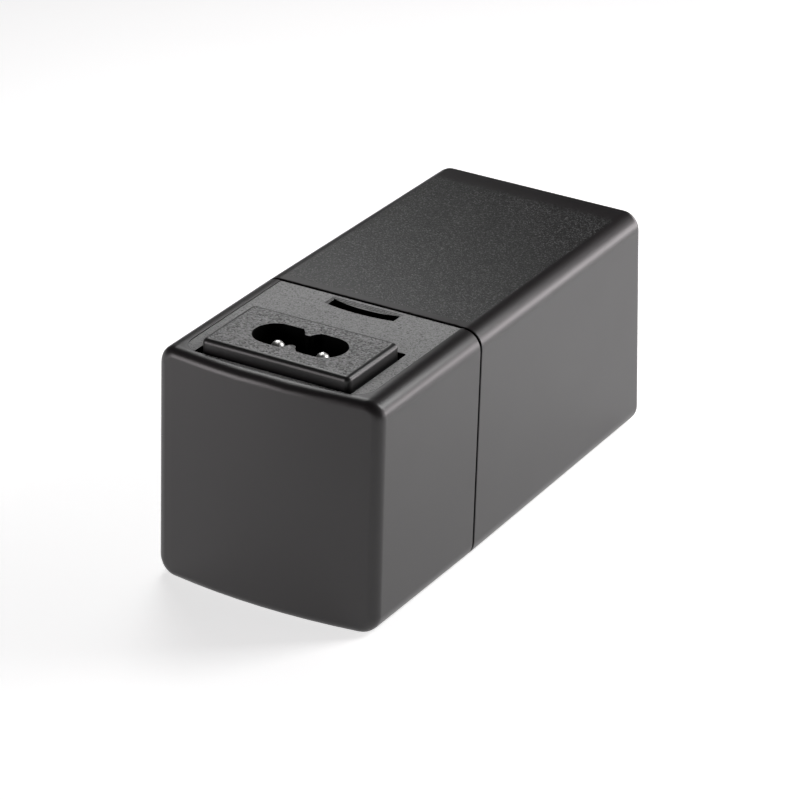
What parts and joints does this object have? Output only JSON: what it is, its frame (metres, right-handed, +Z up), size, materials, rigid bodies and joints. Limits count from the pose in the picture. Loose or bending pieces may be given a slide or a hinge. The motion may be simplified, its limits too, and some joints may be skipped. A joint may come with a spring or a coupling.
{
  "type": "ac power adapter",
  "caption": "Box-shaped AC power adapter in a battery-pack form: black two-part case with a raised two-pole mains inlet and a latch slot on top, power supply board inside",
  "frame": {"origin": "middle of the underside of the case, on the plane that it rests on, half way between the upper corners of its two ends", "axes": "+Z up, out of the mains inlet; +Y along the case from the inlet end to the end with the output contacts; +X to the right when the inlet end faces the viewer"},
  "size_m": [0.043, 0.0964, 0.0443],
  "materials": {
    "case_plastic": "satin black moulded plastic with a fine spark-eroded grain on its top panels",
    "inlet_plastic": "black moulded plastic with a coarser grain",
    "nickel_pin": "polished nickel plate",
    "zinc_steel": "zinc plated steel",
    "brown_insulation": "brown insulated wire",
    "blue_insulation": "blue insulated wire",
    "board_laminate": "green solder resist on glass laminate",
    "insulating_film": "plain pressboard film",
    "fuse_brown": "brown moulded plastic",
    "blue_coating": "blue dipped coating",
    "green_coating": "green dipped coating",
    "yellow_box": "yellow plastic box",
    "enamelled_copper": "enamelled copper wire",
    "black_moulding": "black moulding compound",
    "can_sleeve": "dark shrink sleeve",
    "plain_aluminium": "plain sheet",
    "ferrite": "dark sintered ferrite",
    "bobbin_plastic": "dark red moulding compound",
    "winding_tape": "yellow polyester tape",
    "gold_contact": "gold plated spring brass",
    "red_insulation": "red insulated wire",
    "white_insulation": "white insulated wire",
    "black_insulation": "black insulated wire"
  },
  "bodies": {
    "root": {"main_housing": "case_plastic", "end_cap": "case_plastic", "inlet_body": "inlet_plastic", "inlet_pin_left": "nickel_pin", "inlet_pin_right": "nickel_pin", "inlet_screws": "zinc_steel", "live_lead": "brown_insulation", "neutral_lead": "blue_insulation", "circuit_board": "board_laminate", "board_screws": "zinc_steel", "insulating_sheet": "insulating_film", "fuse": "fuse_brown", "varistor": "blue_coating", "inrush_thermistor": "green_coating", "x_capacitor": "yellow_box", "choke_core": "green_coating", "choke_windings": "enamelled_copper", "bridge_rectifier": "black_moulding", "bulk_capacitor": "can_sleeve", "primary_heatsink": "plain_aluminium", "switching_transistor": "black_moulding", "transistor_screw": "zinc_steel", "controller_chip": "black_moulding", "transformer_core_left": "ferrite", "transformer_core_right": "ferrite", "transformer_bobbin": "bobbin_plastic", "transformer_winding": "winding_tape", "y_capacitor": "blue_coating", "optocoupler": "black_moulding", "secondary_heatsink": "plain_aluminium", "output_rectifier": "black_moulding", "rectifier_screw": "zinc_steel", "output_capacitors": "can_sleeve", "output_choke": "ferrite", "contact_block": "inlet_plastic", "contact_positive": "gold_contact", "contact_signal": "gold_contact", "contact_negative": "gold_contact", "positive_lead": "red_insulation", "signal_lead": "white_insulation", "negative_lead": "black_insulation"}
  },
  "joints": []
}
